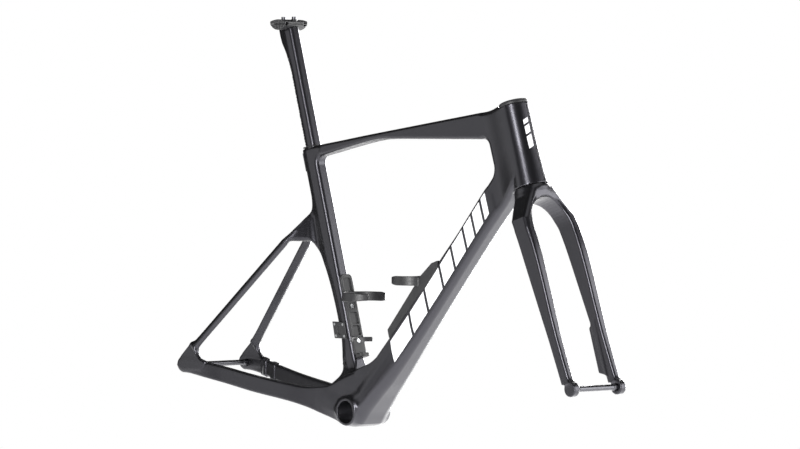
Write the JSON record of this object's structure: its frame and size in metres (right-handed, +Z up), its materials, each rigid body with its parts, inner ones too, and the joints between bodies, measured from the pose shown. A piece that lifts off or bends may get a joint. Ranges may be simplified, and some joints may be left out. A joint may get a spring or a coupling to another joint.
{
  "type": "bicycle frame",
  "caption": "Aero carbon road bicycle frameset with fork, sliding seatpost, saddle clamp, thru axles and built-in bottle cages.",
  "frame": {"origin": "centre of the bottom bracket shell", "axes": "+X forward, +Y to the rider's left, +Z up"},
  "size_m": [1.0286, 0.1635, 0.739],
  "materials": {
    "carbon": "satin painted carbon",
    "satin_black": "satin moulded black",
    "steel": "turned steel",
    "dark_metal": "black anodised",
    "rubber": "matt"
  },
  "bodies": {
    "root": {"head_tube": "carbon", "top_tube": "carbon", "down_tube": "carbon", "seat_tube": "carbon", "bottom_bracket_shell": "carbon", "chainstay_left": "carbon", "chainstay_right": "carbon", "seatstay_yoke": "carbon", "seatstay_left": "carbon", "seatstay_right": "carbon", "rear_dropout_left": "carbon", "rear_dropout_right": "carbon", "headset_cover": "satin_black", "upper_bearing_outer_race": "steel", "lower_bearing_outer_race": "steel", "seat_clamp_wedge": "dark_metal", "seat_clamp_bolt": "steel", "front_derailleur_mount": "satin_black", "front_derailleur_screws": "steel", "bottle_cage_seat_tube": "satin_black", "bottle_cage_down_tube": "carbon", "cage_bolts": "steel", "cage_inserts": "dark_metal", "chainstay_brake_sleeves": "steel", "cable_grommets": "rubber"},
    "fork": {"steerer_tube": "carbon", "fork_crown": "carbon", "fork_leg_left": "carbon", "fork_leg_right": "carbon", "fork_dropout_left": "carbon", "fork_dropout_right": "carbon", "crown_race": "steel", "upper_bearing_inner_race": "steel", "lower_bearing_inner_race": "steel", "compression_ring": "dark_metal", "steerer_expander": "dark_metal", "expander_bolt": "steel", "steerer_cap": "satin_black", "fork_brake_inserts": "steel"},
    "upper_balls": {"upper_bearing_balls": "steel"},
    "lower_balls": {"lower_bearing_balls": "steel"},
    "front_axle": {"front_axle": "dark_metal"},
    "rear_axle": {"rear_axle": "dark_metal"},
    "seatpost": {"seatpost": "carbon"},
    "rail_clamp": {"rail_clamp_cradle": "satin_black", "rail_clamp_top": "satin_black", "rail_clamp_bolts": "dark_metal"}
  },
  "joints": [
    {"name": "steering", "type": "hinge", "parent": "root", "child": "fork", "pos_m": [0.384, 0, 0.556], "axis": [-0.304, 0, 0.9527], "range_deg": [-60, 60]},
    {"name": "upper_ball_roll", "type": "hinge", "parent": "root", "child": "upper_balls", "pos_m": [0.384, 0, 0.556], "axis": [-0.304, 0, 0.9527], "range_deg": [-30, 30]},
    {"name": "lower_ball_roll", "type": "hinge", "parent": "root", "child": "lower_balls", "pos_m": [0.384, 0, 0.556], "axis": [-0.304, 0, 0.9527], "range_deg": [-30, 30]},
    {"name": "front_axle_pull", "type": "slide", "parent": "fork", "child": "front_axle", "axis": [0, 1, 0], "range_m": [0, 0.125]},
    {"name": "rear_axle_pull", "type": "slide", "parent": "root", "child": "rear_axle", "axis": [0, 1, 0], "range_m": [0, 0.165]},
    {"name": "seatpost_height", "type": "slide", "parent": "root", "child": "seatpost", "axis": [-0.284, 0, 0.9588], "range_m": [-0.142, 0.02]},
    {"name": "saddle_tilt", "type": "hinge", "parent": "seatpost", "child": "rail_clamp", "pos_m": [-0.2075, 0, 0.716], "axis": [0, 1, 0], "range_deg": [-10, 10]}
  ],
  "couplings": [
    {"joint": "upper_ball_roll", "follows": "steering", "ratio": 0.4575},
    {"joint": "lower_ball_roll", "follows": "steering", "ratio": 0.463}
  ]
}
